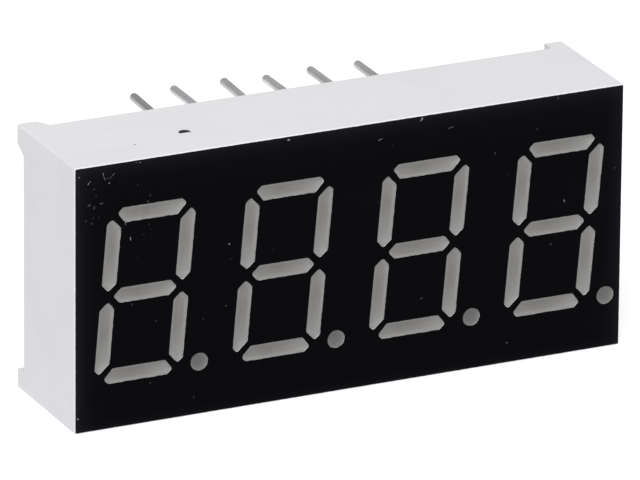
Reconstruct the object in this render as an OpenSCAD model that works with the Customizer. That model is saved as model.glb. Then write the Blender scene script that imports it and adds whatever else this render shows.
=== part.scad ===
// Four-digit seven-segment LED display for through-hole mounting.
// A white moulded reflector carries the epoxy-filled segments behind a black printed face.
// A circuit board with the LED dies closes it from behind, under a layer of clear potting.
// The display stands upright on its long lower side: +X runs across the digits, +Z to their
// tops, the face looks towards -Y and the leads point to +Y. The origin is on the ground,
// below the middle of the whole depth. Lengths are in millimetres, angles in degrees.

/* [Housing] */
// Width across the digits
body_w = 30.1; // [29.6:0.1:37]
// Height of the housing
body_h = 14; // [13.6:0.1:18]
// Depth of the reflector block, from the face to the circuit board
reflector_t = 4.2; // [3:0.1:6]
// Thickness of the walls that rise behind the reflector block
wall_t = 0.8; // [0.5:0.05:1]
// Radius of the four long edges
edge_r = 0.08; // [0.05:0.01:0.3]
// Bevel around the face
face_bevel = 0.05; // [0.03:0.01:0.3]
// Height of the rim above the potting
rim_h = 0.25; // [0.1:0.05:0.8]
// Width of the four square feet
foot_w = 1; // [0.8:0.05:1.5]
// Height of the feet above the rim
foot_h = 0.75; // [0.4:0.05:1.5]
// Root flare of the foot at the top left, beside the moulding gate
foot_flare = 0.45; // [0:0.05:0.8]

/* [Face print] */
// Thickness of the black print
print_t = 0.04; // [0.02:0.01:0.1]

/* [Digits] */
// Distance from one digit to the next
digit_pitch = 7.5; // [7.3:0.05:7.8]
// Height of a digit
digit_h = 9.2; // [7.6:0.1:9.3]
// Width of a digit across its upright segments
digit_w = 4.8; // [4:0.1:5]
// Width of a segment
stroke = 0.8; // [0.65:0.05:1]
// Gap between the mitred ends of neighbouring segments
segment_gap = 0.38; // [0.2:0.02:0.5]
// Lean of the digits to the right
slant = 5; // [0:0.5:10]
// Leg of the cut across the outer corners of a digit
corner_cut = 0.8; // [0.5:0.05:1]
// Extra length at each inner corner of the top and bottom bars
bar_reach = 0.09; // [0:0.01:0.15]
// Radius of the segments' corners
segment_r = 0.11; // [0.03:0.01:0.12]
// Diameter of the decimal point
point_d = 0.95; // [0.7:0.05:1.1]
// Distance from a digit's centre line to its decimal point
point_x = 2.95; // [2.8:0.05:3.1]

/* [Reflector cavities] */
// Length of a segment's cavity where it meets the board
pocket_l = 1.9; // [1.3:0.1:2.6]
// Width of a segment's cavity where it meets the board
pocket_w = 0.66; // [0.5:0.02:0.8]
// Diameter of a decimal point's cavity where it meets the board
point_pocket_d = 0.8; // [0.75:0.05:0.95]
// How far a decimal point's cavity leans inwards on its way to the board
point_lean = 0.7; // [0:0.05:0.9]
// How far the cured epoxy sinks below the housing's face
fill_sink = 0.06; // [0.01:0.01:0.2]
// Plastic left in front of the coring pockets
core_skin = 1.2; // [0.8:0.1:2.5]
// Plastic left between a coring pocket and the segments around it
core_wall = 0.55; // [0.4:0.05:0.9]

/* [Circuit board] */
// Thickness of the board
board_t = 1; // [0.6:0.1:1.6]
// Clearance between the board and the housing walls
board_gap = 0.1; // [0.05:0.01:0.2]
// Thickness of the copper foil
copper_t = 0.035; // [0.018:0.001:0.07]
// Width of a copper track
track_w = 0.2; // [0.12:0.01:0.25]
// Clearance between copper of different nets
track_gap = 0.15; // [0.1:0.01:0.18]
// Clearance between the copper and the board's edge
copper_edge = 0.06; // [0.03:0.01:0.12]
// Diameter of a through-plated via
via_d = 0.25; // [0.2:0.01:0.35]
// Diameter of a copper land around a lead
land_d = 1; // [0.8:0.05:1.2]
// Diameter of the housing's locating pegs
peg_d = 0.9; // [0.6:0.05:1]
// Clearance between a peg and its hole in the board, on the radius
peg_gap = 0.05; // [0.02:0.01:0.1]
// How far a peg stands out behind the board
peg_out = 0.3; // [0.1:0.05:0.5]

/* [LED dies] */
// Width of a die
die_w = 0.25; // [0.2:0.01:0.3]
// Thickness of a die
die_t = 0.18; // [0.1:0.01:0.25]
// Diameter of a bond wire
wire_d = 0.03; // [0.02:0.005:0.05]
// Distance from a die to its wire's pad
wire_span = 0.56; // [0.44:0.02:0.7]
// The same distance in the round cavity of a decimal point
point_wire_span = 0.4; // [0.36:0.02:0.42]

/* [Leads] */
// Diameter of a lead
pin_d = 0.45; // [0.4:0.01:0.6]
// Diameter of the swelling that grips the board
pin_swell_d = 0.55; // [0.5:0.01:0.7]
// Distance from one lead to the next in a row
pin_pitch = 2.54; // [2.5:0.01:2.6]
// Distance between the two rows of leads
row_gap = 10.16; // [10.1:0.01:10.4]
// Length of the leads beyond the feet
pin_out = 6.2; // [2:0.1:12]
// How far a lead reaches into the housing in front of the board
pin_in = 0.3; // [0.1:0.05:0.6]
// Diameter of the tapered nose at that end
pin_nose_d = 0.3; // [0.2:0.01:0.35]
// Inner radius of the small bend where a lead leaves the potting
pin_bend_r = 0.6; // [0.4:0.1:2]
// Clearance around a lead's front end in the housing, on the radius
pin_relief = 0.13; // [0.05:0.01:0.15]
// Height of a solder joint on the back of the board
solder_h = 0.35; // [0.2:0.05:0.5]

/* [Potting] */
// Thickness of the potting over the back of the board
potting_t = 0.8; // [0.6:0.05:2]

/* [Hidden] */
$fn = 48;
// How far a cutting shape runs past the face that it opens
bite = 0.05;
// Straight steps in each rounded corner of a segment
corner_steps = 3;

LETTERS = ["a", "b", "c", "d", "e", "f", "g"];
DIGITS = [1:4];
PINS = [1:12];

// Depths behind the face, front to back
board_front = reflector_t;
board_back = board_front + board_t;
potting_back = board_back + potting_t;
rim = potting_back + rim_h;
seat = rim + foot_h;
pin_tip = seat + pin_out;

// Corner radius of the print: what the bevel leaves of the housing's, or this small one
least_print_r = 0.03;
print_r = max(edge_r - face_bevel, least_print_r);

// The open recess behind the reflector block, and the board in it
recess_w = body_w - 2 * wall_t;
recess_h = body_h - 2 * wall_t;
board_w = recess_w - 2 * board_gap;
board_h = recess_h - 2 * board_gap;

// Centre lines of a digit: u runs across it, z up it, before the slant
half_h = digit_h / 2;
bar_z = (digit_h - stroke) / 2;
side_u = (digit_w - stroke) / 2;
// Distance along a centre line from a corner of the digit to a mitred tip
tip = segment_gap / sqrt(2);
// Height at which the corner cut, drawn on, crosses the digit's centre line
cut_z = (digit_h + digit_w) / 2 - corner_cut;
// Height at which a mitre through the corner, drawn on, crosses the digit's centre line
mitre_z = bar_z - side_u;
point_z = -bar_z;
// Centre of a decimal point's cavity at the board, across from the digit's centre
point_back_x = point_x - point_lean;

// Half of a bar between the top and bottom segments, and of the middle one
middle_half = side_u - tip;
outer_half = (cut_z - mitre_z - tip) / 2;
upright_l = (cut_z + mitre_z - tip) / 2 - tip;

// The side of its cavity on which each segment's wire lands, along the segment
WIRE_SIDE = [["a", -1], ["b", 1], ["c", 1], ["d", 1], ["e", -1], ["f", -1], ["g", 1]];
// Sidestep of the track that carries a segment's line to its lead, past what lies there
RISERS = [
    ["a", 11, 0],
    ["b", 7, 0.5],
    ["c", 4, -0.65],
    ["d", 2, 0],
    ["e", 1, -0.5],
    ["f", 10, 0.6],
    ["g", 5, 0.75],
    ["point", 3, 0.5]
];
// The lead of each digit's common line
COMMON_PIN = [12, 9, 8, 6];
// Bend of each lead where it leaves the potting: angle, and direction from +X towards +Z
PIN_BEND = [
    [0, 0], [0, 0], [0, 0], [0, 0], [0, 0], [0, 0],
    [1.1, -35], [0, 0], [0.9, -60], [2.1, 20], [0.7, 90], [2.7, 0]
];

// Half the clear height of the copper island under each digit, and half its width
island_half_h = half_h + 0.2;
island_half_w = digit_w / 2 + 0.05;
// Where the decimal points' shared line runs
point_bus_z = point_z + 0.8;
// Height at which a sidestepped track turns back to its lead
turn_z = row_gap / 2 - 0.28;

// ---- Places and outlines ----

function find(table, key) = [for (row = table) if (row[0] == key) row][0];
function digit_x(digit) = (digit - 2.5) * digit_pitch;
function slanted(p) = [p.x + p.y * tan(slant), p.y];
function is_bar(letter) = letter == "a" || letter == "d" || letter == "g";
function mirrored(points, mu, mz) =
    let (n = len(points))
    [for (i = [0:n - 1]) let (p = points[mu * mz > 0 ? i : n - 1 - i]) [p.x * mu, p.y * mz]];

// Where a segment's die sits: the middle of its cavity at the board
function segment_centre(letter) =
    letter == "a" ? [0, bar_z] :
    letter == "b" ? [side_u, bar_z / 2] :
    letter == "c" ? [side_u, -bar_z / 2] :
    letter == "d" ? [0, -bar_z] :
    letter == "e" ? [-side_u, -bar_z / 2] :
    letter == "f" ? [-side_u, bar_z / 2] : [0, 0];

// Sharp outlines before the slant, clockwise seen from the front
function middle_bar() =
    let (shoulder = middle_half - stroke / 2, s = stroke / 2)
    [
        [-middle_half, 0],
        [-shoulder, s],
        [shoulder, s],
        [middle_half, 0],
        [shoulder, -s],
        [-shoulder, -s]
    ];
function top_bar() =
    let (
        tip_z = (cut_z + mitre_z + tip) / 2,
        outer = cut_z - half_h,
        inner_z = half_h - stroke,
        inner = inner_z - mitre_z - tip + bar_reach
    )
    [
        [-outer_half, tip_z],
        [-outer, half_h],
        [outer, half_h],
        [outer_half, tip_z],
        [inner, inner_z],
        [-inner, inner_z]
    ];
function upper_left() =
    let (
        outer_u = -digit_w / 2,
        inner_u = outer_u + stroke,
        shoulder_z = tip + stroke / 2,
        tip_u = (mitre_z - tip - cut_z) / 2
    )
    [
        [tip_u, tip_u + cut_z],
        [inner_u, mitre_z - tip - inner_u],
        [inner_u, shoulder_z],
        [-side_u, tip],
        [outer_u, shoulder_z],
        [outer_u, outer_u + cut_z]
    ];
function segment_outline(letter) =
    letter == "a" ? top_bar() :
    letter == "b" ? mirrored(upper_left(), -1, 1) :
    letter == "c" ? mirrored(upper_left(), -1, -1) :
    letter == "d" ? mirrored(top_bar(), 1, -1) :
    letter == "e" ? mirrored(upper_left(), 1, -1) :
    letter == "f" ? upper_left() : middle_bar();
function segment_length(letter) =
    letter == "g" ? 2 * middle_half : is_bar(letter) ? 2 * outer_half : upright_l;

// The outline drawn in towards the die, as the cavity is at the board
function pocket_outline(letter) =
    let (
        centre = segment_centre(letter),
        along = pocket_l / segment_length(letter),
        across = pocket_w / stroke,
        k = is_bar(letter) ? [along, across] : [across, along]
    )
    [for (p = segment_outline(letter)) [
        centre.x + (p.x - centre.x) * k.x,
        centre.y + (p.y - centre.y) * k.y
    ]];

// An arc of radius r in place of the corner b, on the way from a to c
function corner_arc(a, b, c, r) =
    let (
        back = (a - b) / norm(a - b),
        on = (c - b) / norm(c - b),
        half = acos(back * on) / 2,
        centre = b + (back + on) / norm(back + on) * r / sin(half),
        start = b + back * r / tan(half) - centre,
        from = atan2(start.y, start.x),
        turn = sign(cross(b - a, c - b)) * (180 - 2 * half)
    )
    [
        for (i = [0:corner_steps])
            let (angle = from + turn * i / corner_steps)
            centre + r * [cos(angle), sin(angle)]
    ];
function rounded(points, r) =
    let (n = len(points))
    [for (i = [0:n - 1]) each corner_arc(points[(i + n - 1) % n], points[i], points[(i + 1) % n], r)];
function placed_outline(points, digit) =
    rounded([for (p = points) slanted(p) + [digit_x(digit), 0]], segment_r);

// Die and wire pad of a segment or point, seen from the front
function wire_half(letter) = (letter == "point" ? point_wire_span : wire_span) / 2;
function wire_end(digit, letter, side) =
    letter == "point"
        ? [digit_x(digit) + point_back_x, point_z + side * wire_half(letter)]
        : let (
            half = side * find(WIRE_SIDE, letter)[1] * wire_half(letter),
            centre = segment_centre(letter)
        )
        slanted(centre + (is_bar(letter) ? [half, 0] : [0, half])) + [digit_x(digit), 0];
function die_place(digit, letter) = wire_end(digit, letter, -1);
function pad_place(digit, letter) = wire_end(digit, letter, 1);
function wire_angle(letter) =
    letter == "point" ? 90 : (is_bar(letter) ? 0 : 90 - slant) + (find(WIRE_SIDE, letter)[1] > 0 ? 0 : 180);

// Leads 1 to 6 run left to right below, 7 to 12 right to left above
function pin_place(pin) =
    pin <= 6 ? [(pin - 3.5) * pin_pitch, -row_gap / 2] : [(9.5 - pin) * pin_pitch, row_gap / 2];
function bus_z(letter) = letter == "point" ? point_bus_z : pad_place(1, letter).y;
function via_place(digit, letter) = [pad_place(digit, letter).x, bus_z(letter)];
function riser(row) =
    let (pin = pin_place(row[1]), x = pin.x + row[2], turn = sign(pin.y) * turn_z)
    [[x, bus_z(row[0])], [x, turn], [pin.x, turn], pin];
// The way from a digit's copper island to its lead
function common_link(digit) =
    let (pin = pin_place(COMMON_PIN[digit - 1]), x = digit_x(digit))
    digit == 1 ? [[x + side_u, bar_z + 0.3], [pin.x, bar_z + 0.3], pin] :
    digit == 2 ? [[x + side_u, 1], [pin.x - 1, 1], [pin.x - 1, bar_z + 0.3], [pin.x, bar_z + 0.3], pin] :
    digit == 3 ? [[pin.x, half_h + 0.1], pin] :
    [[x - side_u, -bar_z - 0.3], [pin.x + 0.85, -bar_z - 0.3], [pin.x + 0.85, pin.y], pin];
PEGS = [for (side = [-1, 1]) [side * digit_pitch, (bus_z("g") + bus_z("f")) / 2]];
// Diameter of a lead at a depth between the back of the board and the back of the potting
function root_d(depth) = pin_swell_d + (pin_d - pin_swell_d) * (depth - board_back) / potting_t;

// ---- Shapes used more than once ----

// Moves the face's own axes, with the depth behind it as y, to the standing model
module placed() {
    translate([0, -pin_tip / 2, body_h / 2]) children();
}

// An outline in the plane of the face, solid from one depth to another
module slab(near, far) {
    translate([0, far, 0]) rotate([90, 0, 0]) linear_extrude(far - near) children();
}

module rounded_rect(w, h, r) {
    square([w - 2 * r, h], center = true);
    square([w, h - 2 * r], center = true);
    for (x = [-1, 1], y = [-1, 1]) translate([x * (w / 2 - r), y * (h / 2 - r)]) circle(r);
}

// A round bar or cone along the depth
module shaft(place, near, far, d, d_far) {
    translate([place.x, near, place.y])
        rotate([-90, 0, 0])
            cylinder(h = far - near, d1 = d, d2 = is_undef(d_far) ? d : d_far);
}

// The solid between two outlines of as many points, at two depths
module loft(near_outline, near, far_outline, far) {
    n = len(near_outline);
    polyhedron(
        points = concat(
            [for (p = near_outline) [p.x, near, p.y]],
            [for (p = far_outline) [p.x, far, p.y]]
        ),
        faces = concat(
            [[for (i = [0:n - 1]) i]],
            [[for (i = [n - 1:-1:0]) n + i]],
            [for (i = [0:n - 1]) [i, n + i, n + (i + 1) % n]],
            [for (i = [0:n - 1]) [i, n + (i + 1) % n, (i + 1) % n]]
        ),
        convexity = 4
    );
}

// A copper track through a list of points
module track(points, w) {
    for (i = [0:len(points) - 1]) translate(points[i]) circle(d = w);
    for (i = [1:len(points) - 1]) {
        leg = points[i] - points[i - 1];
        if (norm(leg) > 0) {
            translate(points[i - 1])
                rotate(atan2(leg.y, leg.x))
                    translate([0, -w / 2]) square([norm(leg), w]);
        }
    }
}

// ---- Reflector housing ----

module segment_cavity(digit, letter) {
    loft(
        placed_outline(segment_outline(letter), digit), -bite,
        placed_outline(pocket_outline(letter), digit), board_front + bite
    );
}

// Round and slightly conical, leaning inwards so that the outermost one still meets the board
module point_cavity(digit) {
    lean = atan2(point_lean, board_front);
    reach = bite / cos(lean);
    translate([digit_x(digit) + point_x, 0, point_z])
        rotate([-90, 0, lean])
            translate([0, 0, -2 * reach])
                cylinder(h = board_front / cos(lean) + 4 * reach, d1 = point_d, d2 = point_pocket_d);
}

// Blind pocket that lightens the block inside one loop of a digit
module core_pocket(digit, side) {
    half_w = side_u - stroke / 2 - core_wall;
    low = stroke / 2 + core_wall;
    high = bar_z - stroke / 2 - core_wall;
    outline = [[-half_w, low], [-half_w, high], [half_w, high], [half_w, low]];
    slab(core_skin, board_front + bite)
        translate([digit_x(digit), 0])
            polygon([for (p = outline) slanted([p.x, side * p.y])]);
}

// One of the four posts that hold the display off the board it is soldered to
module foot(x_side, z_side, flare) {
    x = body_w / 2;
    z = body_h / 2;
    mirror([x_side < 0 ? 1 : 0, 0, 0]) mirror([0, 0, z_side < 0 ? 1 : 0]) {
        slab(potting_back, seat) translate([x - foot_w, z - foot_w]) square(foot_w);
        if (flare > 0) {
            translate([0, 0, z - wall_t]) linear_extrude(wall_t) foot_root(x - foot_w, flare);
            translate([x, 0, 0]) rotate([0, -90, 0]) linear_extrude(wall_t) foot_root(z - foot_w, flare);
        }
    }
}

// Slope from a foot's flank down to the rim, drawn across and back
module foot_root(flank, flare) {
    polygon([[flank, rim], [flank - flare, rim], [flank, seat]]);
}

// The wedge that bevels one edge of the face, along X
module bevel_wedge(length, reach) {
    translate([-length / 2, 0, 0])
        rotate([90, 0, 90])
            linear_extrude(length)
                polygon([
                    [-bite, reach + bite],
                    [-bite, reach - face_bevel - bite],
                    [face_bevel + bite, reach + bite]
                ]);
}

module housing() {
    color("whitesmoke") difference() {
        union() {
            difference() {
                slab(print_t, rim) rounded_rect(body_w, body_h, edge_r);
                slab(board_front, rim + bite) square([recess_w, recess_h], center = true);
            }
            for (peg = PEGS) shaft(peg, board_front - peg_out, board_back + peg_out, peg_d);
            intersection() {
                for (x = [-1, 1], z = [-1, 1]) foot(x, z, x < 0 && z > 0 ? foot_flare : 0);
                slab(potting_back, seat) rounded_rect(body_w, body_h, edge_r);
            }
        }
        translate([0, print_t, 0]) {
            for (turn = [0, 180]) rotate([0, turn, 0]) bevel_wedge(body_w, body_h / 2);
            for (turn = [90, 270]) rotate([0, turn, 0]) bevel_wedge(body_h, body_w / 2);
        }
        for (digit = DIGITS, letter = LETTERS) segment_cavity(digit, letter);
        for (digit = DIGITS) point_cavity(digit);
        for (digit = DIGITS, side = [-1, 1]) core_pocket(digit, side);
        for (pin = PINS) {
            relief_depth = pin_in + pin_relief;
            shaft(pin_place(pin), board_front - relief_depth, board_front + bite, pin_d + 2 * pin_relief);
        }
    }
}

module front_print() {
    color("black") slab(0, print_t) difference() {
        rounded_rect(body_w - 2 * face_bevel, body_h - 2 * face_bevel, print_r);
        for (digit = DIGITS, letter = LETTERS) polygon(placed_outline(segment_outline(letter), digit));
        for (digit = DIGITS) translate([digit_x(digit) + point_x, point_z]) circle(d = point_d);
    }
}

// ---- Light-guide epoxy, one casting in each cavity ----

module segment(digit, letter) {
    color("darkgray") difference() {
        intersection() {
            segment_cavity(digit, letter);
            slab(print_t + fill_sink, board_front) square([body_w, body_h], center = true);
        }
        die(digit, letter);
        bond_wire(digit, letter);
    }
}

module point(digit) {
    color("darkgray") difference() {
        intersection() {
            point_cavity(digit);
            slab(print_t + fill_sink, board_front) square([body_w, body_h], center = true);
        }
        die(digit, "point");
        bond_wire(digit, "point");
    }
}

// ---- LED dies and their bond wires ----

module die(digit, letter) {
    slab(board_front - die_t, board_front) translate(die_place(digit, letter)) square(die_w, center = true);
}

// A round loop from the top of the die, then straight down to the pad
module bond_wire(digit, letter) {
    place = die_place(digit, letter);
    half = wire_half(letter);
    translate([place.x, board_front - die_t, place.y])
        rotate([90, -wire_angle(letter), 0])
            translate([half, 0, 0]) {
                rotate([90, 0, 0])
                    rotate_extrude(angle = 180)
                        translate([half, 0]) circle(d = wire_d, $fn = 16);
                translate([half, 0, -die_t]) cylinder(h = die_t, d = wire_d, $fn = 16);
            }
}

module led_dies(digit) {
    color("goldenrod") for (letter = concat(LETTERS, ["point"])) die(digit, letter);
}

module bond_wires(digit) {
    color("gold") for (letter = concat(LETTERS, ["point"])) bond_wire(digit, letter);
}

// ---- Circuit board and its copper ----

module island(digit) {
    tab_w = point_pocket_d + 0.1;
    translate([digit_x(digit), 0]) {
        polygon([for (p = [
            [-island_half_w, -island_half_h],
            [-island_half_w, island_half_h],
            [island_half_w, island_half_h],
            [island_half_w, -island_half_h]
        ]) slanted(p)]);
        translate([side_u, -island_half_h])
            square([point_back_x - side_u + tab_w / 2, island_half_h + point_bus_z + 0.2]);
    }
}

// Copper that belongs to the segment lines, drawn w wider on each side
module segment_lines(w) {
    for (digit = DIGITS, letter = LETTERS) {
        translate(pad_place(digit, letter)) circle(d = via_d + 0.1 + 2 * w);
    }
    for (digit = DIGITS) {
        track([pad_place(digit, "point"), via_place(digit, "point")], via_d + 2 * w);
    }
    for (row = RISERS) track(riser(row), track_w + 2 * w);
}

module front_foil() {
    difference() {
        intersection() {
            for (digit = DIGITS) island(digit);
            square([board_w - 2 * copper_edge, board_h - 2 * copper_edge], center = true);
        }
        segment_lines(track_gap);
        for (pin = PINS) translate(pin_place(pin)) circle(d = land_d + 2 * track_gap);
        track(common_link(2), track_w + 2 * track_gap);
    }
    segment_lines(0);
    for (digit = DIGITS) track(common_link(digit), track_w);
    for (pin = PINS) translate(pin_place(pin)) circle(d = land_d);
}

module rear_foil() {
    for (row = RISERS) {
        letter = row[0];
        track([via_place(1, letter), via_place(4, letter)], track_w);
        for (digit = DIGITS) translate(via_place(digit, letter)) circle(d = via_d + 0.15);
        translate(riser(row)[0]) circle(d = via_d + 0.15);
    }
    for (pin = PINS) translate(pin_place(pin)) circle(d = land_d);
}

module vias() {
    for (row = RISERS) {
        places = concat([for (digit = DIGITS) via_place(digit, row[0])], [riser(row)[0]]);
        for (place = places) shaft(place, board_front + copper_t, board_back - copper_t / 2, via_d);
    }
}

module front_copper() {
    color("peru") difference() {
        slab(board_front, board_front + copper_t) front_foil();
        pin_bores(pin_swell_d);
    }
}

module rear_copper() {
    color("peru") difference() {
        union() {
            slab(board_back - copper_t, board_back) rear_foil();
            vias();
        }
        pin_bores(pin_swell_d);
    }
}

module pin_bores(d) {
    for (pin = PINS) shaft(pin_place(pin), board_front - bite, board_back + bite, d);
}

module circuit_board() {
    color("seagreen") difference() {
        slab(board_front, board_back) square([board_w, board_h], center = true);
        slab(board_front - bite, board_front + copper_t) front_foil();
        slab(board_back - copper_t, board_back + bite) rear_foil();
        vias();
        pin_bores(pin_swell_d);
        for (peg = PEGS) shaft(peg, board_front - bite, board_back + bite, peg_d + 2 * peg_gap);
    }
}

// ---- Leads, solder and potting ----

// A straight wire end with a rounded tip, along +Z
module wire_end_rod(length) {
    r = pin_d / 2;
    rotate_extrude() {
        square([r, length - r]);
        translate([0, length - r]) intersection() {
            circle(r);
            square(r);
        }
    }
}

// The stretch behind the board, where the swelling thins out to the bare lead
module pin_root(place, near, far) {
    shaft(place, near, far, root_d(near), root_d(far));
}

module pin(number) {
    place = pin_place(number);
    bend = PIN_BEND[number - 1];
    bend_arc = pin_bend_r * bend[0] * PI / 180;
    free = pin_tip - potting_back;
    color("silver") {
        shaft(place, board_front - pin_in, board_front, pin_nose_d, pin_d);
        shaft(place, board_front, board_back, pin_swell_d);
        pin_root(place, board_back, potting_back);
        translate([place.x, potting_back, place.y]) rotate([-90, -bend[1], 0]) {
            if (bend[0] > 0) {
                translate([pin_bend_r, 0, 0])
                    rotate([90, 0, 0])
                        rotate([0, 0, 180 - bend[0]])
                            rotate_extrude(angle = bend[0]) translate([pin_bend_r, 0]) circle(d = pin_d);
            }
            translate([pin_bend_r * (1 - cos(bend[0])), 0, pin_bend_r * sin(bend[0])])
                rotate([0, bend[0], 0])
                    wire_end_rod(free - bend_arc);
        }
    }
}

module solder_cone(place) {
    shaft(place, board_back, board_back + solder_h, land_d - 0.1, pin_d + 0.15);
}

module solder_joints() {
    color("lightsteelblue") for (pin = PINS) difference() {
        solder_cone(pin_place(pin));
        pin_root(pin_place(pin), board_back - bite, board_back + solder_h + bite);
    }
}

module rear_potting() {
    color("palegoldenrod", 0.6) difference() {
        slab(board_front, potting_back) square([recess_w, recess_h], center = true);
        slab(board_front - bite, board_back) square([board_w, board_h], center = true);
        for (peg = PEGS) shaft(peg, board_back - bite, board_back + peg_out, peg_d);
        for (pin = PINS) {
            pin_root(pin_place(pin), board_back - bite, potting_back + bite);
            solder_cone(pin_place(pin));
        }
    }
}

placed() housing();
placed() front_print();
for (digit = DIGITS, letter = LETTERS) {
    placed() segment(digit, letter);
}
for (digit = DIGITS) {
    placed() point(digit);
    placed() led_dies(digit);
    placed() bond_wires(digit);
}
placed() circuit_board();
placed() front_copper();
placed() rear_copper();
for (number = PINS) {
    placed() pin(number);
}
placed() solder_joints();
placed() rear_potting();
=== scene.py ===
"""Finishes and fine forms of a four-digit seven-segment LED display.

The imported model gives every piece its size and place. This script keeps the moulded housing, the
board and the leads as they are and gives them their materials. Around them it prints the black
face, casts the epoxy in the segments, draws up the solder and pours the clear potting, and then
sets the display on a pale studio floor.
"""

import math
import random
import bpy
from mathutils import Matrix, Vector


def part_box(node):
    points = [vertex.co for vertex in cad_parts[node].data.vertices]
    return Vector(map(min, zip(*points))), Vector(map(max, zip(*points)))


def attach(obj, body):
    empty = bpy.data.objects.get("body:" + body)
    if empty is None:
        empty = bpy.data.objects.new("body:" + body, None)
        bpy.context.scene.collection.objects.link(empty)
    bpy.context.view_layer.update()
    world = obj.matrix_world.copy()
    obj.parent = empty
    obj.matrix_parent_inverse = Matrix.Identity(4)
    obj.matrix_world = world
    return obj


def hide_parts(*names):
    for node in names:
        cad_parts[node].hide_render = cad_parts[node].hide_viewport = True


bl_info = {
    "name": "LED display finishes",
    "version": (1, 0, 0),
    "blender": (4, 5, 0),
    "location": "3D View > Sidebar > LED display",
    "description": "Dresses a four-digit seven-segment display and sets it on a studio floor",
    "category": "Object",
}

import bpy
from bpy.props import FloatProperty, FloatVectorProperty, IntProperty, PointerProperty
from mathutils import Quaternion, Vector
from mathutils.bvhtree import BVHTree

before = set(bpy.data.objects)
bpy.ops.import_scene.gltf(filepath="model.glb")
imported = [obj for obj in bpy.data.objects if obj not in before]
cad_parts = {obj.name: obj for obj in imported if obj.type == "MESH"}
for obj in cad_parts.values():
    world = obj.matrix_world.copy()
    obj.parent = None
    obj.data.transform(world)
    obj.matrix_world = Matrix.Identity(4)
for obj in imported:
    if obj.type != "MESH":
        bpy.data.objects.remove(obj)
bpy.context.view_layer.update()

MM = 0.001
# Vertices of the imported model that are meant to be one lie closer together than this
WELD = 1e-6
FINE_WELD = 1e-8
BODY = "root"
LETTERS = "abcdefg"
DIGITS = range(1, 5)
PINS = range(1, 13)

# Marks on the top side: their places across and in depth, in millimetres, the share of the dot's
# radius at which its straight edge cuts it, and the speck's radius
DOT = (-7.95, -3.98)
DOT_CUT = 0.4
SPECK = (-10.93, -4.62)
SPECK_RADIUS = 0.05
# What counts as the top side, in millimetres under it
TOP_SKIN = 0.1
# Depths between which a tone changes, in millimetres: behind the board's front, and behind the
# face, where the moulding's front edge gets a painted highlight
REAR_BAND = (0.9, 1.6)
FRONT_HIGHLIGHT_BAND = (0.03, 0.08)
# Scratches: across and up from the face's middle, length, width, turn and brightness
SCRATCHES = (
    (-13.52, 6.5, 0.2, 0.035, 99, 0.6),
    (-13.46, 6.28, 0.24, 0.03, 113, 0.4),
    (-12.98, 6.4, 0.2, 0.03, 43, 0.35),
    (-13.1, 6.27, 0.12, 0.03, 60, 0.25),
    (-13.28, 6.25, 0.2, 0.03, 5, 0.12),
    (-13.2, 5.99, 0.06, 0.06, 0, 1.0),
    (-14.32, 6.12, 0.12, 0.04, 60, 0.9),
    (-14.22, 6.21, 0.08, 0.04, 40, 0.6),
    (-14.82, 6.52, 0.06, 0.06, 0, 0.8),
    (-14.01, 5.79, 0.09, 0.06, 20, 0.12),
    (-11.53, 6.82, 0.08, 0.07, 0, 0.45),
    (-11.74, 6.86, 0.12, 0.05, 0, 0.2),
    (-14.27, 4.99, 0.2, 0.1, 10, 0.012),
    (-14.0, 4.82, 0.18, 0.09, 80, 0.015),
    (-13.62, 4.99, 0.2, 0.1, 0, 0.012),
    (-14.44, 4.18, 0.1, 0.08, 0, 0.02),
    (-14.13, 4.01, 0.1, 0.08, 0, 0.03),
    (-11.11, 4.72, 0.1, 0.06, 10, 0.18),
    (-12.33, 3.74, 0.16, 0.04, 86, 0.5),
    (-12.05, 2.9, 0.2, 0.04, 95, 0.85),
    (-3.5, 6.8, 0.16, 0.07, 0, 0.95),
    (3.8, 6.8, 0.22, 0.07, 55, 1.0),
    (1.52, 6.06, 0.26, 0.05, 18, 0.4),
    (5.4, 6.12, 0.34, 0.07, 15, 0.04),
    (7.9, 4.4, 0.12, 0.05, 80, 0.12),
    (10.2, 5.32, 0.1, 0.04, 10, 0.1),
    (11.8, 1.25, 0.16, 0.06, 88, 0.5),
    (11.1, -0.97, 0.14, 0.06, 0, 0.04),
    (3.9, -2.75, 0.14, 0.06, 10, 0.08),
    (-6.7, 1.8, 0.09, 0.06, 20, 1.0),
    (-6.85, -1.45, 0.12, 0.05, 10, 0.06),
    (-8.1, -1.95, 0.1, 0.04, 80, 0.06),
    (-10.65, -1.65, 0.12, 0.05, 30, 0.03),
    (-11.95, -0.6, 0.12, 0.06, 60, 0.04),
    (-8.6, -6.05, 0.12, 0.05, 85, 0.06),
    (8.7, -5.9, 0.16, 0.07, 10, 0.06),
    (11.35, 6.79, 0.12, 0.05, 80, 0.25),
    (14.6, 2.6, 0.1, 0.05, 90, 0.06),
    (-14.88, -6.2, 0.1, 0.07, 80, 0.8),
    (-13.9, 5.4, 0.1, 0.04, 20, 0.04),
    (-14.05, 4.3, 0.1, 0.04, 70, 0.04),
)
# Print that each speck keeps around itself, and the least and the most of its width
CLEARANCE = 0.06 * MM
SPECK_SIZES = (0.015, 0.045)
# Painted light along a segment, from its middle to its right or lower end, in millimetres: where it
# is darkest, how far it gets lighter towards that end and the other, and how light the other gets
# beside it
DEEPEST = -0.4
FAR_REACH = 1.8
NEAR_REACH = 1.1
NEAR_SHARE = 0.47
# Width of the epoxy that the white walls shine through
WALL_GLOW = 0.32
# Pitch of the glass cloth, and radius of the bare land around a lead
CLOTH_PITCH = 0.45
LAND_RADIUS = 0.47
# Where a lead's cut end starts to dull and is dull, in millimetres from its tip, and how much
CUT_END = (0.35, 0.1)
TARNISH = 0.4
# A solder fillet's sides, and the steps in its outline: up its outside, and in all
FILLET_SIDES = 36
FILLET_STEPS = 12
OUTLINE_STEPS = FILLET_STEPS + 3
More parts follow.
